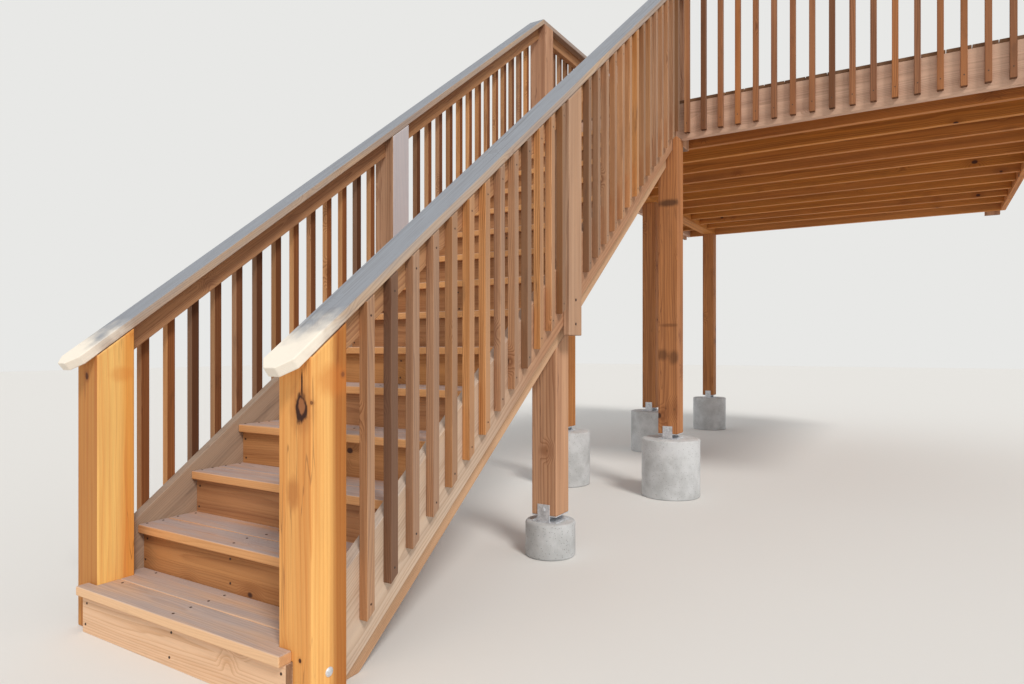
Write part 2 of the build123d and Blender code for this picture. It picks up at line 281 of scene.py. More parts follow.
cell_place = vector_of(timber, "MULTIPLY", log_place, KNOT_CELLS)
knot_cells = cells(timber, cell_place, 1.0)
from_knot = vector_of(timber, "SUBTRACT", cell_place, knot_cells.outputs["Position"])
from_knot = vector_of(timber, "LENGTH", vector_of(timber, "MULTIPLY", from_knot, KNOT_SHAPE))
knot_chance = timber.nodes.new("ShaderNodeSeparateColor")
put(knot_chance.inputs[0], knot_cells.outputs["Color"])
has_knot = sum_of(timber, "LESS_THAN", knot_chance.outputs[1], wood_in["Knotty"])
knot_size = sum_of(timber, "MULTIPLY_ADD", knot_chance.outputs[0], KNOT_RANGE, SMALLEST_KNOT)
knot_share = sum_of(timber, "DIVIDE", from_knot, knot_size)
knot = sum_of(timber, "MULTIPLY", eased(timber, knot_share, 1.15, 0.75), has_knot)
round_knot = sum_of(timber, "MULTIPLY", eased(timber, knot_share, 4.5, 0.8), has_knot)
print("Knots from", SMALLEST_KNOT, "to", SMALLEST_KNOT + KNOT_RANGE, "m")

# %% [markdown]
# A ring is pale where it grew in spring and deepens to its summer edge. Fibres and streaks break
# it up, some boards come from a darker tree, and each has its own tone. A group's inputs can't
# reach the stops of a colour ramp, so a pale and a deep colour are blended by a mask.

# %% Colours of the wood
KNOT_PUSH = 0.03  # metres that a knot pushes the rings

pushed = sum_of(timber, "MULTIPLY_ADD", round_knot, KNOT_PUSH, from_heart)
ring = sum_of(timber, "FRACT", sum_of(timber, "DIVIDE", pushed, wood_in["Ring spacing"]))
dark_edge = sum_of(timber, "POWER", ring, 2.2)
late_wood = sum_of(timber, "MULTIPLY", dark_edge, eased(timber, ring, 1.0, 0.9))
fibre = grained(timber, log_place, 5, 190, 3.0, 0.62)
streak = grained(timber, log_place, 0.9, 26)
depth = sum_of(timber, "MULTIPLY_ADD", streak, 1.5, -0.52)
depth = sum_of(timber, "MULTIPLY_ADD", late_wood, wood_in["Ring depth"], depth)
depth = sum_of(timber, "MULTIPLY_ADD", round_knot, 0.35, depth)
colour = blended(timber, eased(timber, depth, -0.05, 1.05), wood_in["Pale"], wood_in["Deep"])

second_tone = sum_of(timber, "FRACT", sum_of(timber, "MULTIPLY", wood_in["Tone"], 7.31))
odd_board = eased(timber, second_tone, 0.5, 0.95)
odd_board = sum_of(timber, "MULTIPLY", odd_board, wood_in["Odd share"])
odd_deep = blended(timber, 0.6, wood_in["Odd"], wood_in["Deep"])
odd_colour = blended(timber, late_wood, wood_in["Odd"], odd_deep)
colour = blended(timber, odd_board, colour, odd_colour)

tone_shift = sum_of(timber, "SUBTRACT", wood_in["Tone"], 0.5)
richness = sum_of(timber, "MULTIPLY", tone_shift, wood_in["Variety"])
brightness = sum_of(timber, "ADD", richness, 0.86)
tint = timber.nodes.new("ShaderNodeHueSaturation")
put(tint.inputs["Hue"], sum_of(timber, "MULTIPLY_ADD", tone_shift, 0.004, 0.5))
put(tint.inputs["Saturation"], sum_of(timber, "MULTIPLY_ADD", richness, 0.4, 1.0))
put(tint.inputs["Value"], sum_of(timber, "MULTIPLY_ADD", fibre, 0.28, brightness))
put(tint.inputs["Color"], colour)
colour = blended(timber, knot, tint.outputs["Color"], wood_in["Knot"])
print("Wood colours ready")

# %% [markdown]
# Drying wood opens in checks, thin cracks along the grain, and water stains it and darkens cut
# ends. Checks are too many to cut into the mesh. One is drawn where drawn-out clouds pass their
# middle value, and a wider cloud breaks it off.

# %% Checks, stains and cut ends
from_middle = sum_of(timber, "SUBTRACT", grained(timber, log_place, 1.1, 30, 2.0, 0.4), 0.5)
crack = eased(timber, sum_of(timber, "ABSOLUTE", from_middle), 0.013, 0.002)
crack_reach = eased(timber, grained(timber, log_place, 1.5, 9), 0.5, 0.62)
check = sum_of(timber, "MULTIPLY", crack, crack_reach)
check = sum_of(timber, "MULTIPLY", check, wood_in["Checks"])
colour = blended(timber, check, colour, srgb(112, 64, 38))
stain = eased(timber, grained(timber, log_place, 2.5, 11, 4.0, 0.65), 0.58, 0.78)
stain = sum_of(timber, "MULTIPLY", stain, wood_in["Stain"])
colour = blended(timber, stain, colour, srgb(58, 44, 36))
put(wood_out["Color"], blended(timber, wood_in["End"], colour, srgb(92, 62, 42)))
put(wood_out["Roughness"], sum_of(timber, "MULTIPLY_ADD", fibre, 0.25, 0.6))
furrow = sum_of(timber, "MULTIPLY_ADD", late_wood, 0.35, fibre)
furrow = sum_of(timber, "SUBTRACT", furrow, check)
put(wood_out["Height"], sum_of(timber, "MULTIPLY_ADD", knot, 0.4, furrow))
print("Sawn timber group:", len(timber.nodes), "nodes")

# %% [markdown]
# Sun and rain turn bare wood grey, first where it faces the sky. Greyer finishes for the tops
# would meet the others at a hard line, so a patchy mask follows the way each point faces. The
# groove between two rings stays darker, and a weathered plank still shows its grain.

# %% Weather group
def coordinate(tree, kind="Object"):
    """Where each point of a piece is, in metres, or with kind Normal which way it faces."""
    return tree.nodes.new("ShaderNodeTexCoord").outputs[kind]


def part_of(tree, vector, axis):
    """One of the three numbers of a vector."""
    node = tree.nodes.new("ShaderNodeSeparateXYZ")
    put(node.inputs[0], vector)
    return node.outputs[axis]


weather, weather_in, weather_out = new_group(
    "weather",
    {"Vector": ["Place"], "Color": ["Color", "Silver"], "Float": ["On top", "All over", "Height"]},
    {"Color": ["Color"]},
)
upward = eased(weather, part_of(weather, coordinate(weather, "Normal"), "Z"), 0.12, 0.55)
patch = grained(weather, weather_in["Place"], 1.6, 14, 4.0, 0.6)
patch = eased(weather, patch, 0.25, 0.62, 0.45, 1.0)
reach = sum_of(weather, "MULTIPLY_ADD", upward, weather_in["On top"], weather_in["All over"])
amount = sum_of(weather, "MINIMUM", sum_of(weather, "MULTIPLY", reach, patch), 1.0)
groove = eased(weather, weather_in["Height"], 0.35, 0.85, 0.0, 0.22)
grooved = blended(weather, groove, weather_in["Silver"], srgb(96, 84, 76))
put(weather_out["Color"], blended(weather, amount, weather_in["Color"], grooved))
print("Weather group:", len(weather.nodes), "nodes")

# %% [markdown]
# A finish is one kind of timber as it has aged in one place: wood, then weather over it. Rough
# cedar is matt, and its fibres could be displaced in the mesh, but a Bump node shows them with no
# more faces. One function makes every finish, so each is only a line of colours and shares.

# %% Timber finish
KNOT_COLOUR = (74, 42, 26)
FIBRE_RELIEF = 0.0012


def read_attribute(tree, name, output):
    """What each point or face of a piece says under this name."""
    node = tree.nodes.new("ShaderNodeAttribute")
    node.attribute_name = name
    return node.outputs[output]


def add_group(tree, group, values):
    """A node group in a material, with these values or links on its inputs: its outputs."""
    node = tree.nodes.new("ShaderNodeGroup")
    node.node_tree = group
    for title, value in values.items():
        put(node.inputs[title], value)
    return node.outputs


def timber_finish(name, pale, deep, slot=None, silver=(150, 145, 142), odd=(120, 84, 66),
                  spacing=0.006, ring_depth=0.62, knotty=0.35, variety=0.25, stain=0.15,
                  on_top=0.4, all_over=0.05, odd_share=0.0, checks=0.0, dark_ends=0.75):
    """A material for boards cut from one kind of timber. Colours are given from 0 to 255."""
    material, tree, shader = new_finish(name + "_finish")
    material["slot"] = slot or name
    spot = read_attribute(tree, "log_place", "Vector")
    cut_end = read_attribute(tree, "cut_end", "Fac")
    wood = add_group(tree, timber, {
        "Place": spot, "Tone": read_attribute(tree, "board_tone", "Fac"),
        "End": sum_of(tree, "MULTIPLY", cut_end, dark_ends),
        "Pale": srgb(*pale), "Deep": srgb(*deep), "Knot": srgb(*KNOT_COLOUR), "Odd": srgb(*odd),
        "Ring spacing": spacing, "Ring depth": ring_depth, "Knotty": knotty, "Variety": variety,
        "Stain": stain, "Odd share": odd_share, "Checks": checks,
    })
    aged = add_group(tree, weather, {
        "Color": wood["Color"], "Silver": srgb(*silver), "Place": spot,
        "On top": on_top, "All over": all_over, "Height": wood["Height"],
    })
    bump = tree.nodes.new("ShaderNodeBump")
    put(bump.inputs["Strength"], 0.7)
    put(bump.inputs["Distance"], FIBRE_RELIEF)
    put(bump.inputs["Height"], wood["Height"])
    put(shader.inputs["Base Color"], aged["Color"])
    put(shader.inputs["Roughness"], wood["Roughness"])
    put(shader.inputs["Normal"], bump.outputs["Normal"])
    put(shader.inputs["Specular IOR Level"], 0.25)
    return material


print("Timber finish ready")

# %% [markdown]
# Posts are the thickest timber, so their rings are broad and they check most. The newels are
# honey-coloured in the sun and the other posts browner. Left and right could share a finish, but
# they stand in different light, so each pair shares its wood and has colours of its own.

# %% Finishes of the posts
newel_wood = dict(slot="post_timber", spacing=0.016, ring_depth=0.4, knotty=0.25, variety=0.06,
                  stain=0.1, on_top=0.1, checks=0.4)
newel_timber = timber_finish("newel_timber", (250, 190, 112), (224, 148, 76), **newel_wood)
left_newel_timber = timber_finish(
    "left_newel_timber", (255, 206, 118), (234, 160, 82), **newel_wood)
aged_post_timber = timber_finish(
    "aged_post_timber", (206, 158, 122), (160, 110, 78), slot="post_timber",
    silver=(176, 164, 156), spacing=0.011, knotty=0.45, variety=0.12, all_over=0.1, checks=0.7)
mid_post_wood = dict(pale=(194, 154, 124), deep=(154, 114, 86), slot="post_timber",
                     spacing=0.011, knotty=0.45, checks=0.6)
mid_post_timber = timber_finish(
    "mid_post_timber", silver=(168, 156, 146), all_over=0.15, **mid_post_wood)
left_mid_post_timber = timber_finish("left_mid_post_timber", **mid_post_wood)
deck_post_timber = timber_finish(
    "deck_post_timber", (198, 132, 74), (146, 88, 44), slot="post_timber",
    spacing=0.011, knotty=0.5, variety=0.15, stain=0.25, checks=0.7)
print("Post finishes ready")

# %% [markdown]
# Balusters are cut from many boards, so their tones vary most and some are much darker. Each
# could have its own material, but one finish reads every baluster's tone from its attribute.
# Rails are longer and more even.

# %% Finishes of the balusters and rails
baluster_wood = dict(slot="baluster_timber", silver=(158, 146, 132), ring_depth=0.8, knotty=0.3,
                     variety=0.46, stain=0.45, all_over=0.08, odd_share=0.8)
baluster_timber = timber_finish(
    "baluster_timber", (212, 156, 108), (152, 100, 60), odd=(96, 68, 50), **baluster_wood)
# The left balusters have a finish of their own, so that their right faces can carry painted shade.
left_baluster_timber = timber_finish(
    "left_baluster_timber", (212, 160, 112), (156, 106, 66), odd=(110, 80, 60), **baluster_wood)
rail_timber = timber_finish("rail_timber", (192, 142, 96), (146, 98, 64), variety=0.15)
print("Baluster and rail finishes ready")

# %% [markdown]
# Treads turn silver on top, where rain stands and feet rub. Risers stay brown in the shade of the
# nosings, and the lowest tread and riser are fresher and paler. A blend by height could do that
# in one finish, but they are separate pieces already.

# %% Finishes of the steps
tread_wood = dict(slot="tread_timber", variety=0.18, stain=0.4, on_top=0.82, dark_ends=0.0)
tread_timber = timber_finish(
    "tread_timber", (216, 158, 104), (172, 110, 64), silver=(178, 168, 168), **tread_wood)
bottom_tread_timber = timber_finish(
    "bottom_tread_timber", (232, 184, 134), (196, 144, 96), silver=(178, 166, 164), **tread_wood)
riser_timber = timber_finish(
    "riser_timber", (194, 138, 88), (156, 102, 60),
    spacing=0.009, ring_depth=0.42, knotty=0.3, variety=0.18)
pale_riser_timber = timber_finish(
    "pale_riser_timber", (242, 202, 166), (214, 168, 128), slot="riser_timber",
    spacing=0.009, knotty=0.3)
print("Step finishes ready")

# %% [markdown]
# Skirts and rims face outwards and have paled. The left skirt is darker and more stained: its
# darker colours are painted shade, for the right guard shadows its inner face. The frame under
# the deck has seen little weather and is still orange. Its shade could be painted in, but the
# light gives it by itself, so the frame's finish keeps to the colour of its wood.

# %% Finishes of the skirts and the deck
skirt_wood = dict(slot="skirt_timber", spacing=0.008, knotty=0.25, variety=0.1, all_over=0.3)
skirt_timber = timber_finish(
    "skirt_timber", (214, 186, 158), (182, 148, 118), silver=(196, 186, 176), **skirt_wood)
# Painted shade: the left skirt is a darker copy of the skirt's colours, with more stains.
dull_skirt_timber = timber_finish(
    "dull_skirt_timber", (176, 148, 124), (142, 115, 93), silver=(156, 143, 132), stain=0.4,
    **skirt_wood)
stringer_timber = timber_finish(
    "stringer_timber", (206, 166, 132), (166, 124, 92), slot="frame_timber",
    spacing=0.008, variety=0.1)
frame_timber = timber_finish(
    "frame_timber", (204, 131, 59), (158, 94, 38), spacing=0.008, knotty=0.5, variety=0.06)
rear_rim_timber = timber_finish(
    "rear_rim_timber", (210, 140, 70), (164, 102, 46), slot="rim_timber",
    spacing=0.008, knotty=0.4, variety=0.06)
rim_timber = timber_finish(
    "rim_timber", (226, 186, 158), (188, 146, 120), spacing=0.008, variety=0.1, all_over=0.1)
decking_timber = timber_finish(
    "decking_timber", (190, 142, 100), (150, 102, 66), silver=(170, 156, 142), on_top=0.6)
print("Skirt and deck finishes ready")

# %% [markdown]
# Light and weather reach the sides of a post unevenly. Several of the tints below are painted
# light and shade: on the newels, the left mid post and the left balusters. The tread fronts have
# weathered less than the tops, and the right skirt is tanner higher up. A material for each side
# would change at an edge, but the real change is gradual, so a finish turns towards a second
# colour by the way a face looks or by its place.

# %% Painted light and uneven ageing
def colour_so_far(material):
    """A material's node tree, its Base Color socket, and what feeds that socket now."""
    socket = material.node_tree.nodes["Principled BSDF"].inputs["Base Color"]
    return material.node_tree, socket, socket.links[0].from_socket


def tint_for_light_and_age(material, kind, axis, low, high, colour, way="MULTIPLY", most=1.0):
    """Turns a finish towards a colour while one of its coordinates goes from low to high."""
    tree, socket, untinted = colour_so_far(material)
    share = eased(tree, part_of(tree, coordinate(tree, kind), axis), low, high, 0.0, most)
    put(socket, blended(tree, share, untinted, srgb(*colour), way))
    print(material.name, "ages along", axis)


# Painted shade on the right newel: darker towards its back, and on every face but its sunlit right
# face.
tint_for_light_and_age(newel_timber, "Object", "Y", -6.032, -5.985, (186, 158, 136))
tint_for_light_and_age(newel_timber, "Normal", "X", 0.8, 0.4, (244, 232, 226))
# Painted shade on the left newel in the same way, lighter: towards its back, and on every face but
# its sunlit right face.
tint_for_light_and_age(left_newel_timber, "Object", "Y", -6.02, -5.97, (242, 214, 184))
tint_for_light_and_age(left_newel_timber, "Normal", "X", 0.8, 0.4, (205, 180, 170))
# Painted sunlight on the left mid post's right face: a pale blue-grey.
tint_for_light_and_age(left_mid_post_timber, "Normal", "X", 0.4, 0.8, (204, 207, 216), "MIX", 0.74)
tint_for_light_and_age(skirt_timber, "Object", "Y", -5.35, -4.4, (226, 194, 172))
tint_for_light_and_age(tread_timber, "Normal", "Y", -0.5, -0.85, (244, 184, 122), "MIX", 0.5)
tint_for_light_and_age(bottom_tread_timber, "Normal", "Y", -0.5, -0.85, (252, 210, 168), "MIX", 0.6)
tint_for_light_and_age(baluster_timber, "Normal", "X", 0.4, 0.8, (150, 128, 112), "MIX", 0.45)
# Painted shade on the left balusters' right faces.
tint_for_light_and_age(left_baluster_timber, "Normal", "X", 0.4, 0.8, (176, 150, 132))
tint_for_light_and_age(baluster_timber, "Object", "X", -2.44, -2.38, (216, 196, 184))

# %% [markdown]
# A few knots of the newels are large enough to know each post by. They could be painted on a
# picture of each side, but a solid lens in the wood, with a ragged rim and a soft halo, also runs
# round a corner. A check beside a knot is a thin tall lens, and a lens without a heart is a
# stain.

# %% Placed knots
placed_knot, knot_in, knot_out = new_group(
    "placed_knot",
    {"Vector": ["Place", "Centre", "Size"], "Color": ["Color", "Dark"], "Float": ["Heart", "Halo"]},
    {"Color": ["Color"]},
)
offset = vector_of(placed_knot, "SUBTRACT", knot_in["Place"], knot_in["Centre"])
lens = vector_of(placed_knot, "LENGTH", vector_of(placed_knot, "DIVIDE", offset, knot_in["Size"]))
rim_place = vector_of(placed_knot, "MULTIPLY", knot_in["Place"], (60, 60, 30))
ragged = sum_of(placed_knot, "MULTIPLY_ADD", cloudy(placed_knot, rim_place, 1.0, 3.0), 0.8, lens)
halo = sum_of(placed_knot, "MULTIPLY", eased(placed_knot, ragged, 2.6, 1.1), knot_in["Halo"])
around = blended(placed_knot, knot_in["Heart"], knot_in["Dark"], srgb(146, 82, 44))
ringed = blended(placed_knot, halo, knot_in["Color"], around)
heart = sum_of(placed_knot, "MULTIPLY", eased(placed_knot, ragged, 1.45, 1.1), knot_in["Heart"])
put(knot_out["Color"], blended(placed_knot, heart, ringed, knot_in["Dark"]))


def place_knots(material, spots):
    """Puts knots over a finish, each from its centre, half sizes, colour, heart and halo."""
    tree, socket, colour = colour_so_far(material)
    place = coordinate(tree)
    for centre, size, dark, heart, halo in spots:
        colour = add_group(tree, placed_knot, {
            "Color": colour, "Place": place, "Centre": centre, "Size": size,
            "Dark": srgb(*dark), "Heart": heart, "Halo": halo,
        })["Color"]
    put(socket, colour)
    print(material.name, len(spots), "placed knots")


place_knots(newel_timber, [
    ((-2.502, -6.098, -1.970), (0.03, 0.03, 0.052), (62, 34, 24), 1.0, 0.45),
    ((-2.499, -6.098, -1.962), (0.017, 0.03, 0.029), (160, 104, 66), 1.0, 0.0),
    ((-2.4975, -6.098, -1.894), (0.0045, 0.04, 0.05), (74, 42, 28), 1.0, 0.1),
    ((-2.457, -6.096, -1.950), (0.004, 0.008, 0.007), (88, 50, 30), 0.7, 0.3),
    ((-2.538, -6.098, -2.242), (0.018, 0.03, 0.034), (172, 98, 46), 0.0, 0.6),
    ((-2.506, -6.098, -2.765), (0.007, 0.03, 0.008), (84, 52, 34), 1.0, 0.3),
    ((-2.454, -6.000, -1.882), (0.03, 0.046, 0.034), (206, 120, 50), 0.0, 0.5),
    ((-2.454, -5.964, -1.865), (0.02, 0.008, 0.009), (112, 66, 44), 0.6, 0.4),
])
place_knots(baluster_timber, [((-2.473, -5.709, -2.06), (0.06, 0.05, 1.3), (92, 62, 46), 0.7, 0.0)])
place_knots(deck_post_timber, [
    ((-2.520, -2.441, -0.649), (0.06, 0.03, 0.018), (66, 44, 34), 0.0, 0.75),
    ((-2.520, -2.441, -1.600), (0.05, 0.02, 0.009), (96, 56, 38), 0.0, 0.5),
    ((-2.570, -2.441, -1.830), (0.03, 0.03, 0.028), (76, 48, 34), 0.0, 0.6),
    ((-2.480, -2.441, -1.850), (0.028, 0.03, 0.034), (80, 52, 36), 0.0, 0.6),
])
place_knots(left_newel_timber, [
    ((-3.773, -6.098, -1.894), (0.012, 0.03, 0.016), (104, 60, 36), 1.0, 0.5),
    ((-3.694, -5.999, -1.887), (0.03, 0.03, 0.02), (222, 138, 62), 0.0, 0.45),
])

# %% [markdown]
# The caps have weathered most: an even blue-grey with darker streaks. At the stair caps' lower
# ends, which the sun reaches past the deck, painted sunlight turns them a creamy white. The ends
# could be pieces of their own, but a real cap has no joint there, so a smooth step along the
# climb, broken up by clouds, paints that sunlight on them.

# %% Cap finish
CLOUD_SHIFT = 0.3  # metres by which the clouds move a point up the climb, at most
SUNLIT_UP_TO, GREY = -5.98, -5.8  # along Y with that shift: white before the first, grey after both

cap_timber = timber_finish(
    "cap_timber", (214, 178, 138), (180, 140, 104), silver=(150, 155, 163),
    knotty=0.3, variety=0.1, stain=0.05, on_top=1.3, all_over=0.55)
cap_tree, cap_colour, cap_grey = colour_so_far(cap_timber)
cap_log = read_attribute(cap_tree, "log_place", "Vector")
cap_streak = grained(cap_tree, cap_log, 0.8, 90, 3.0, 0.6)
cap_streak = eased(cap_tree, cap_streak, 0.52, 0.72, 0.0, 0.55)
streaked = blended(cap_tree, cap_streak, cap_grey, srgb(104, 98, 98))
cap_place = coordinate(cap_tree)
cap_clouds = cloudy(cap_tree, cap_place, 9.0, 4.0)
climbed = part_of(cap_tree, cap_place, "Y")
climbed = sum_of(cap_tree, "MULTIPLY_ADD", cap_clouds, CLOUD_SHIFT, climbed)
# Painted sunlight: a creamy white on the lower ends of the stair caps.
sunlit_share = eased(cap_tree, climbed, SUNLIT_UP_TO, GREY, 0.95, 0.0)
put(cap_colour, blended(cap_tree, sunlit_share, streaked, srgb(250, 240, 224)))
print("Cap finish ready")

# %% [markdown]
# A node's mesh holds many boards. They could be taken apart into objects, but a finish only needs
# each board's place in its log, its tone and its cut ends. Points that edges link are one board,
# found by its lowest point number, and the marks are written to attributes of the mesh.

# %% Board marks
import random

import numpy as np

CLIMB = math.atan2(0.1937, 0.254)  # the rise and the going of a step
ALONG = {  # the way along the grain, and two ways across it
    "across": ((1, 0, 0), (0, 1, 0), (0, 0, 1)),
    "back": ((0, 1, 0), (1, 0, 0), (0, 0, 1)),
    "up": ((0, 0, 1), (1, 0, 0), (0, 1, 0)),
    "climb": (
        (0, math.cos(CLIMB), math.sin(CLIMB)), (1, 0, 0), (0, -math.sin(CLIMB), math.cos(CLIMB)),
    ),
}


def rows_of(items, name, width, kind=float):
    """One property of every vertex, edge or face of a mesh, as the rows of an array."""
    values = np.empty(len(items) * width, kind)
    items.foreach_get(name, values)
    return values.reshape(-1, width)


def lowest_linked(count, first, second):
    """For each of so many points, the lowest point that pairs of points link it to."""
    number = np.arange(count)
    while True:
        lower = number.copy()
        np.minimum.at(lower, first, number[second])
        np.minimum.at(lower, second, number[first])
        if (lower == number).all():
            return number
        number = lower


def mark_boards(piece, direction):
    """Gives every board its own place in a log, a tone and a mask of its cut ends."""
    mesh = piece.data
    chance = random.Random(piece.name)
    axes = np.array(ALONG[direction])
    points = rows_of(mesh.vertices, "co", 3) @ axes.T
    lowest = lowest_linked(len(points), *rows_of(mesh.edges, "vertices", 2, int).T)
    board = np.unique(lowest, return_inverse=True)[1]
    tone = np.zeros(len(points))
    for number in range(board.max() + 1):
        mine = board == number
        low, high = points[mine].min(0), points[mine].max(0)
        half = (high - low) / 2
        heart = [chance.uniform(-2, 2), chance.choice((-1, 1)), chance.choice((-1, 1))]
        for side, other in ((1, 2), (2, 1)):
            if half[side] <= half[other] * 1.05:  # the thin way: the heart is outside the board
                heart[side] *= half[side] + chance.uniform(0.01, 0.06)
            else:
                heart[side] *= half[side] * chance.uniform(0, 0.4)
        points[mine] += np.array(heart) - (low + high) / 2
        tone[mine] = chance.random()
    ends = np.abs(rows_of(mesh.polygons, "normal", 3) @ axes[0]) > 0.75
    for name, kind, where, field, values in (
        ("log_place", "FLOAT_VECTOR", "POINT", "vector", points.ravel()),
        ("board_tone", "FLOAT", "POINT", "value", tone),
        ("cut_end", "FLOAT", "FACE", "value", ends.astype(float)),
    ):
        mesh.attributes.new(name, kind, where).data.foreach_set(field, values)
    return board.max() + 1


print("Climb:", round(math.degrees(CLIMB), 2), "degrees")

# %% [markdown]
# A real board's edges have been eased by the planer and by years of hands. Bevelled boxes would
# lose the notches and mitres, so each piece is a copy of its CAD node: the loose triangles are
# merged, flat faces are made whole again, and a small bevel runs along every edge.

# %% Dress a node
EDGES = {  # how each kind of edge is eased: the bevel's width in metres and its segments
    "plank": (0.003, 2), "riser": (0.002, 2), "baluster": (0.0025, 2), "beam": (0.005, 2),
    "nosing": (0.005, 3), "cap": (0.004, 3), "post": (0.005, 3), "newel": (0.006, 3),
    "saddle": (0.0015, 2), "pier": (0.012, 3),
}
MERGED = 0.00005  # metres within which two points become one


def begin(piece):
    """Leaves this piece as the only one selected, and active."""
    bpy.ops.object.select_all(action="DESELECT")
    piece.select_set(True)
    bpy.context.view_layer.objects.active = piece


def pick_faces(piece, wanted):
    """In edit mode with nothing else selected: the faces for which wanted(face) is true."""
    begin(piece)
    bpy.ops.object.mode_set(mode="EDIT")
    bpy.ops.mesh.select_mode(type="FACE")
    bpy.ops.mesh.select_all(action="DESELECT")
    bpy.ops.object.mode_set(mode="OBJECT")
    for face in piece.data.polygons:
        face.select = wanted(face)
    bpy.ops.object.mode_set(mode="EDIT")


def ease_edges(piece, kind):
    """Applies a bevel to every edge that turns by more than 30 degrees."""
    begin(piece)
    bevel = piece.modifiers.new("eased edges", "BEVEL")
    bevel.width, bevel.segments = EDGES[kind]
    bevel.limit_method = "ANGLE"
    bpy.ops.object.modifier_apply(modifier=bevel.name)


def copy_node(node, name):
    """A copy of a CAD node's mesh as one clean piece with whole faces."""
    piece = bpy.data.objects.new(name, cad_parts[node].data.copy())
    bpy.context.scene.collection.objects.link(piece)
    begin(piece)
    bpy.ops.object.mode_set(mode="EDIT")
    bpy.ops.mesh.select_all(action="SELECT")
    bpy.ops.mesh.remove_doubles(threshold=MERGED)
    bpy.ops.mesh.dissolve_limited(angle_limit=math.radians(1))
    bpy.ops.object.mode_set(mode="OBJECT")
    piece.data.materials.clear()
    return piece


def dress(node, finish, direction, edge="plank", lower=0.0):
    """A finished timber piece that stands for a CAD node. Its undersides may be moved lower."""
    piece = copy_node(node, node + "_timber")
    if lower:
        pick_faces(piece, lambda face: face.normal.z < -0.9)
        bpy.ops.transform.translate(value=(0, 0, -lower))
        bpy.ops.object.mode_set(mode="OBJECT")
    ease_edges(piece, edge)
    boards = mark_boards(piece, direction)
    piece.data.materials.append(finish)
    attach(piece, "root")
    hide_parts(node)
    print(piece.name, boards, "boards,", len(piece.data.polygons), "faces")


print("Kinds of eased edge:", len(EDGES))

# %% [markdown]
# Three planks are cut out for every step, and each step has two tread boards and a closing riser.
# Feet have rounded the nosings. In the frame a riser meets the tread below only along a line,
# where light would shine through. That could be filled, but a real riser reaches down behind the
# tread, so its underside is lowered.

# %% Stringers, treads and risers
RISER_LAP = 0.036
for node in ("left_stringer", "middle_stringer", "right_stringer"):
    dress(node, stringer_timber, "climb")
dress("bottom_tread", bottom_tread_timber, "across", "nosing")
dress("tread_front_boards", tread_timber, "across", "nosing")
dress("tread_back_boards", tread_timber, "across")
dress("bottom_riser", pale_riser_timber, "across", "riser")
dress("risers", riser_timber, "across", "riser", lower=RISER_LAP)

# %% [markdown]
# Each guard has a skirt, posts of rough cedar, a wide cap, rails on edge and square balusters. A
# mirrored copy of one guard would repeat its grain, so both are dressed from their own nodes. The
# newels are the roughest timber, so their edges are the softest.

# %% Skirts, posts, caps, rails and balusters of the stairs
for hand, skirt, newel, mid_post, balusters in (
    ("left", dull_skirt_timber, left_newel_timber, left_mid_post_timber, left_baluster_timber),
    ("right", skirt_timber, newel_timber, mid_post_timber, baluster_timber),
):
    dress(hand + "_skirt", skirt, "climb")
    dress(hand + "_newel", newel, "up", "newel")
    dress(hand + "_mid_post", mid_post, "up", "post")
    dress(hand + "_stair_cap", cap_timber, "climb", "cap")
    dress(hand + "_stair_rails", rail_timber, "climb")
    dress(hand + "_stair_balusters", balusters, "up", "baluster")
    dress(hand + "_flight_support", aged_post_timber, "up", "post")

# %% [markdown]
# The deck is framed with planks on edge and carried by posts. Only the rims and the underside are
# easily seen, and the rest could stay plain, but a part is turned round by whoever uses it, so
# every plank is dressed.

# %% Deck frame and posts
dress("front_rim", rim_timber, "across")
dress("rear_rim", rear_rim_timber, "across")
dress("left_rim", rim_timber, "back")
dress("house_ledger", frame_timber, "back")
dress("edge_beam", frame_timber, "back", "beam")
dress("joists", frame_timber, "across")
dress("deck_boards", decking_timber, "back")
for node in (
    "left_top_post", "right_top_post", "left_guard_post", "rear_left_guard_post",
    "front_wall_post", "rear_wall_post",
):
    dress(node, aged_post_timber, "up", "post")
for node in ("front_left_post", "front_right_post", "middle_left_post", "rear_left_post"):
    dress(node, deck_post_timber, "up", "post")

# %% [markdown]
# The deck's guards are made like the stairs' guards, only level. They could be dressed in the
# same loop, but their boards run other ways: across at the front and rear, and back at the left.

# %% Deck guards
for side, direction, rails, balusters in (
    ("front", "across", "_guard_rail", baluster_timber),
    ("rear", "across", "_guard_rail", baluster_timber),
    ("left", "back", "_guard_rails", left_baluster_timber),
):
    dress(side + "_guard_cap", cap_timber, direction, "cap")
    dress(side + rails, rail_timber, direction)
    dress(side + "_guard_balusters", balusters, "up", "baluster")
dress("right_post_cap", cap_timber, "back", "cap")

# %% [markdown]
# The saddles are dipped in zinc, which sets in crystals a few millimetres wide that differ a
# little in grey. Plain noise would look like dirt, so a Voronoi texture gives the crystals, and
# soft clouds of dull oxide lie over them.

# %% Galvanised steel
galvanised_steel, steel_tree, steel_shader = new_finish("galvanised_steel_finish")
steel_place = coordinate(steel_tree)
crystal = steel_tree.nodes.new("ShaderNodeSeparateColor")
put(crystal.inputs[0], cells(steel_tree, steel_place, 110.0).outputs["Color"])
oxide = eased(steel_tree, cloudy(steel_tree, steel_place, 18.0, 4.0), 0.5, 0.75, 0.0, 0.5)
zinc = blended(steel_tree, crystal.outputs[0], srgb(206, 209, 214), srgb(232, 234, 238))
put(steel_shader.inputs["Base Color"], blended(steel_tree, oxide, zinc, srgb(150, 150, 148)))
dullness = sum_of(steel_tree, "MULTIPLY_ADD", crystal.outputs[1], 0.16, 0.42)
put(steel_shader.inputs["Roughness"], dullness)
put(steel_shader.inputs["Metallic"], 0.6)
print("Galvanised steel ready")

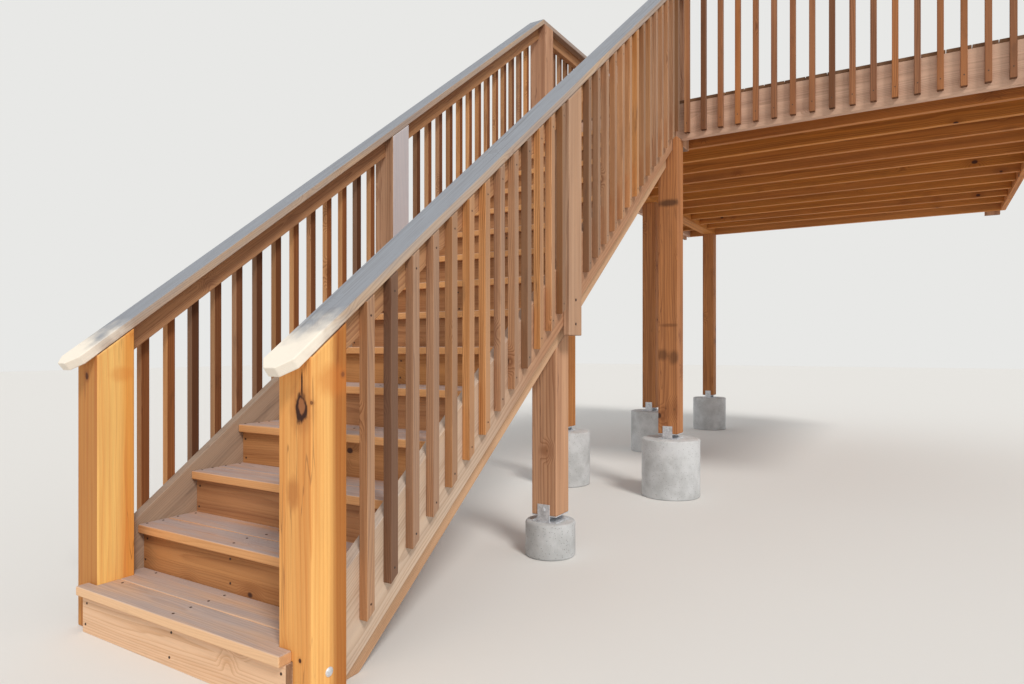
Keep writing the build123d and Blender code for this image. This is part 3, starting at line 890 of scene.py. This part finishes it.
# %% [markdown]
# The piers are cast concrete: pale, with darker clouds, sand in the skin and pores where air was
# caught. Pores are too small to cut into the mesh, so the distance to the middle of a Voronoi
# cell draws them, in the colour and in the bump.

# %% Concrete
PORE_DEPTH = 0.003

concrete, pier_tree, pier_shader = new_finish("concrete_finish")
pier_place = coordinate(pier_tree)
clouds = eased(pier_tree, cloudy(pier_tree, pier_place, 5.0, 5.0, 0.6), 0.35, 0.7)
sand = cloudy(pier_tree, pier_place, 240.0, 3.0, 0.7)
pore = cells(pier_tree, pier_place, 70.0).outputs["Distance"]
pore = eased(pier_tree, pore, 0.1, 0.22, 1.0, 0.0)
grey = blended(pier_tree, clouds, srgb(222, 224, 226), srgb(192, 194, 195))
sandy = sum_of(pier_tree, "MULTIPLY", sand, 0.35)
grey = blended(pier_tree, sandy, grey, srgb(140, 138, 132))
pitted = sum_of(pier_tree, "MULTIPLY", pore, 0.6)
put(pier_shader.inputs["Base Color"], blended(pier_tree, pitted, grey, srgb(104, 102, 98)))
put(pier_shader.inputs["Roughness"], 0.92)
rough = pier_tree.nodes.new("ShaderNodeBump")
put(rough.inputs["Strength"], 0.8)
put(rough.inputs["Distance"], PORE_DEPTH)
put(rough.inputs["Height"], sum_of(pier_tree, "SUBTRACT", sand, pore))
put(pier_shader.inputs["Normal"], rough.outputs["Normal"])
print("Concrete ready")

# %% [markdown]
# Each post stands clear of the ground in a folded saddle of galvanised plate. It could be built
# again from plates, but the node has its shape, so it is copied like the boards. Folded plate has
# crisp edges, so its bevel is the smallest here.

# %% Saddles
saddles = copy_node("post_bases", "post_saddles")
ease_edges(saddles, "saddle")
saddles.data.materials.append(galvanised_steel)
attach(saddles, "root")
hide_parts("post_bases")
print(saddles.name, len(saddles.data.polygons), "faces")

# %% [markdown]
# A pier is poured into a round tube. A copy of the node would show its few sides, so each pier is
# made anew in the same place from a cylinder with more sides, with an eased rim and a smooth
# side.

# %% Piers
PIER_SIDES = 64


def places_of(node):
    """The lowest and highest corner of each board, block or pier in a CAD node."""
    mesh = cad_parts[node].data
    points = rows_of(mesh.vertices, "co", 3)
    corner = np.unique(np.round(points, 4), axis=0, return_inverse=True)[1].ravel()
    first, second = corner[rows_of(mesh.edges, "vertices", 2, int)].T
    solid = lowest_linked(corner.max() + 1, first, second)[corner]
    return [(points[solid == key].min(0), points[solid == key].max(0)) for key in np.unique(solid)]


def joined(parts, name):
    """These parts as one piece whose object sits at the origin."""
    bpy.ops.object.select_all(action="DESELECT")
    for part in parts:
        part.select_set(True)
        bpy.context.view_layer.objects.active = part
    bpy.ops.object.join()
    bpy.ops.object.transform_apply(location=True, rotation=True, scale=True)
    bpy.context.object.name = name
    return bpy.context.object


pier_parts = []
for low, high in places_of("piers"):
    bpy.ops.object.select_all(action="DESELECT")
    bpy.ops.mesh.primitive_cylinder_add(
        vertices=PIER_SIDES, radius=(high[0] - low[0]) / 2, depth=high[2] - low[2],
        location=(low + high) / 2,
    )
    pier_parts.append(bpy.context.object)
    ease_edges(pier_parts[-1], "pier")
piers = joined(pier_parts, "concrete_piers")
bpy.ops.object.shade_smooth_by_angle(angle=math.radians(40))
piers.data.materials.append(concrete)
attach(piers, "root")
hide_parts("piers")
print(piers.name, len(pier_parts), "piers,", len(piers.data.polygons), "faces")

# %% [markdown]
# Cedar's tannin turns the zinc of nails and screws dark and brown. They could share the saddles'
# finish, but hundreds of bright dots would stand out on the wood, so they get a dull one with
# clouds of rust.

# %% Dull steel
dull_steel, dull_tree, dull_shader = new_finish("dull_steel_finish")
rust = eased(dull_tree, cloudy(dull_tree, coordinate(dull_tree), 160.0, 3.0), 0.35, 0.65)
rusty = blended(dull_tree, rust, srgb(66, 56, 52), srgb(96, 66, 48))
put(dull_shader.inputs["Base Color"], rusty)
put(dull_shader.inputs["Roughness"], sum_of(dull_tree, "MULTIPLY_ADD", rust, 0.25, 0.5))
put(dull_shader.inputs["Metallic"], 0.4)
print("Dull steel ready")

# %% [markdown]
# Of each nail, screw and bolt only the head shows, so nothing inside the wood is modelled. A head
# starts as a short cylinder, and its top is inset and moved in steps: dished for a nail, almost
# flat for a screw, domed for a carriage bolt. There are hundreds of copies, so the small heads
# have few faces.

# %% Heads
from mathutils import Vector

UP, FRONT, REAR = (0, 0, 1), (0, -1, 0), (0, 1, 0)


def head_model(name, sides, radius, height, steps):
    """A fastener's head on Z: a cylinder whose top is inset and moved up or down in steps."""
    bpy.ops.object.select_all(action="DESELECT")
    bpy.ops.mesh.primitive_cylinder_add(vertices=sides, radius=radius, depth=height)
    head = bpy.context.object
    head.name = name
    pick_faces(head, lambda face: face.normal.z > 0.9)
    for inset, lift in steps:
        bpy.ops.mesh.inset(thickness=inset)
        bpy.ops.transform.translate(value=(0, 0, lift))
    bpy.ops.object.mode_set(mode="OBJECT")
    return head


def fasten(name, model, spots, finish):
    """A copy of the head on each spot, turned to face outwards, all joined into one piece."""
    heads = []
    for place, facing in spots:
        head = model.copy()
        head.data = model.data.copy()
        head.location = place
        head.rotation_euler = Vector(facing).to_track_quat("Z", "Y").to_euler()
        bpy.context.scene.collection.objects.link(head)
        heads.append(head)
    piece = joined(heads, name)
    piece.data.materials.append(finish)
    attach(piece, "root")
    print(name, len(spots), "heads,", len(piece.data.polygons), "faces")


nail_head = head_model("nail_head", 8, 0.005, 0.003, [(0.0015, -0.0006)])
screw_head = head_model("screw_head", 10, 0.0045, 0.003, [(0.0015, 0.0003)])
bolt_head = head_model(
    "bolt_head", 20, 0.016, 0.003, [(0.003, 0.0022), (0.004, 0.0016), (0.004, 0.0006)])
bpy.ops.object.shade_smooth_by_angle(angle=math.radians(60))
lag_head = head_model("lag_head", 12, 0.008, 0.003, [(0.002, 0.0014), (0.002, 0.0005)])
hex_head = head_model("hex_head", 6, 0.012, 0.009, [(0.002, 0.0008)])
print("Faces of a nail's head:", len(nail_head.data.polygons))

# %% [markdown]
# Two nails hold each board of a step to each stringer. They could be scattered over the boards,
# but each has to meet a stringer, so its place is worked out from both, and strays a little as a
# carpenter's nails do.

# %% Nails of the steps
TREAD_MARGIN, RISER_MARGIN, NOTCH_MARGIN = 0.035, 0.03, 0.02  # from a nail to the board's edge
INSIDE_NEWEL = 0.1  # the bottom tread's outer nails stand clear of its notches
STRAY_ALONG, STRAY_ACROSS = 0.014, 0.007

stringer_lines = [
    sum(corner.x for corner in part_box(side + "_stringer")) / 2
    for side in ("left", "middle", "right")
]
left_line, middle_line, right_line = stringer_lines
chance = random.Random(7)


def strayed_by(most):
    """A random distance of up to this many metres either way."""
    return chance.uniform(-most, most)


step_nails = []
for node in ("tread_front_boards", "tread_back_boards"):
    for low, high in places_of(node):
        for x in stringer_lines:
            for y in (low[1] + TREAD_MARGIN, high[1] - TREAD_MARGIN):
                spot = (x + strayed_by(STRAY_ALONG), y + strayed_by(STRAY_ACROSS), high[2])
                step_nails.append((spot, UP))
for low, high in places_of("bottom_tread"):
    for y in (low[1] + TREAD_MARGIN, high[1] - TREAD_MARGIN):
        step_nails.append(((middle_line, y, high[2]), UP))
    for x in (left_line + INSIDE_NEWEL, right_line - INSIDE_NEWEL):
        step_nails.append(((x, high[1] - NOTCH_MARGIN, high[2]), UP))
for node in ("bottom_riser", "risers"):
    for low, high in places_of(node):
        for x in stringer_lines:
            for z in (low[2] + RISER_MARGIN, high[2] - RISER_MARGIN):
                spot = (x + strayed_by(STRAY_ALONG), low[1], z + strayed_by(STRAY_ACROSS))
                step_nails.append((spot, FRONT))
fasten("step_nails", nail_head, step_nails, dull_steel)

# %% [markdown]
# The deck boards are nailed down over every joist. An array could repeat the rows, but the boards
# and joists already say where they cross, so each crossing gets a nail near each edge of the
# board.

# %% Nails of the deck boards
DECK_MARGIN = 0.03

joist_lines = sorted({round(float(low[1] + high[1]) / 2, 4) for low, high in places_of("joists")})
deck_nails = []
for low, high in places_of("deck_boards"):
    for y in joist_lines:
        if low[1] < y < high[1]:
            for x in (low[0] + DECK_MARGIN, high[0] - DECK_MARGIN):
                deck_nails.append(((x, y, high[2]), UP))
fasten("deck_nails", nail_head, deck_nails, dull_steel)

# %% [markdown]
# Each baluster is screwed to the rail under the cap and to the skirt or rim behind it, through
# its outer face. The heads could lie on the face, but a driver pulls them into soft cedar, so
# they stand only a hair proud of it.

# %% Screws of the balusters
SCREW_SUNK = 0.0013
STAIR_SCREWS = (0.075, 0.055)  # metres from a baluster's top and from its foot
DECK_SCREWS = (0.06, 0.07)

screws = []
for balusters, across, out, (from_top, from_foot) in (
    ("left_stair_balusters", 0, -1, STAIR_SCREWS), ("right_stair_balusters", 0, 1, STAIR_SCREWS),
    ("front_guard_balusters", 1, -1, DECK_SCREWS), ("rear_guard_balusters", 1, 1, DECK_SCREWS),
    ("left_guard_balusters", 0, -1, DECK_SCREWS),
):
    facing = [0, 0, 0]
    facing[across] = out
    for low, high in places_of(balusters):
        spot = list((low + high) / 2)
        spot[across] = (high[across] if out > 0 else low[across]) - out * SCREW_SUNK
        for z in (high[2] - from_top, low[2] + from_foot):
            screws.append(((spot[0], spot[1], z), facing))
fasten("baluster_screws", screw_head, screws, dull_steel)

# %% [markdown]
# A carriage bolt with a domed bright head holds each newel near its foot, and two dull screws
# hold each mid post. The heads could stand on the outermost face, but on the left that would pass
# the frame's box, so they are let in there.

# %% Bolts and screws of the posts
BOLT_SUNK = 0.006
NEWEL_BOLT = (-6.025, -2.816)  # along Y and up
MID_POST_SCREWS = (-1.5146, -1.6462)

bolts, lags = [], []
for side, out in (("left", -1), ("right", 1)):
    low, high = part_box(side + "_newel")
    face = high.x if out > 0 else low.x + BOLT_SUNK
    bolts.append(((face, *NEWEL_BOLT), (out, 0, 0)))
    low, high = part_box(side + "_mid_post")
    face = high.x if out > 0 else low.x + BOLT_SUNK
    lags += [((face, (low.y + high.y) / 2, z), (out, 0, 0)) for z in MID_POST_SCREWS]
fasten("carriage_bolts", bolt_head, bolts, galvanised_steel)
fasten("mid_post_screws", lag_head, lags, dull_steel)

# %% [markdown]
# One bolt goes through each saddle and its post. Its nut could be a model of its own, but it
# looks much like the head, so the head serves for both. After this the heads' models are no
# longer needed and are removed.

# %% Bolts of the saddles
BELOW_EDGE = 0.028

saddle_bolts = []
for low, high in places_of("post_bases"):
    x, z = (low[0] + high[0]) / 2, high[2] - BELOW_EDGE
    saddle_bolts += [((x, low[1], z), FRONT), ((x, high[1], z), REAR)]
fasten("saddle_bolts", hex_head, saddle_bolts, galvanised_steel)
for model in (nail_head, screw_head, bolt_head, lag_head, hex_head):
    bpy.data.objects.remove(model)
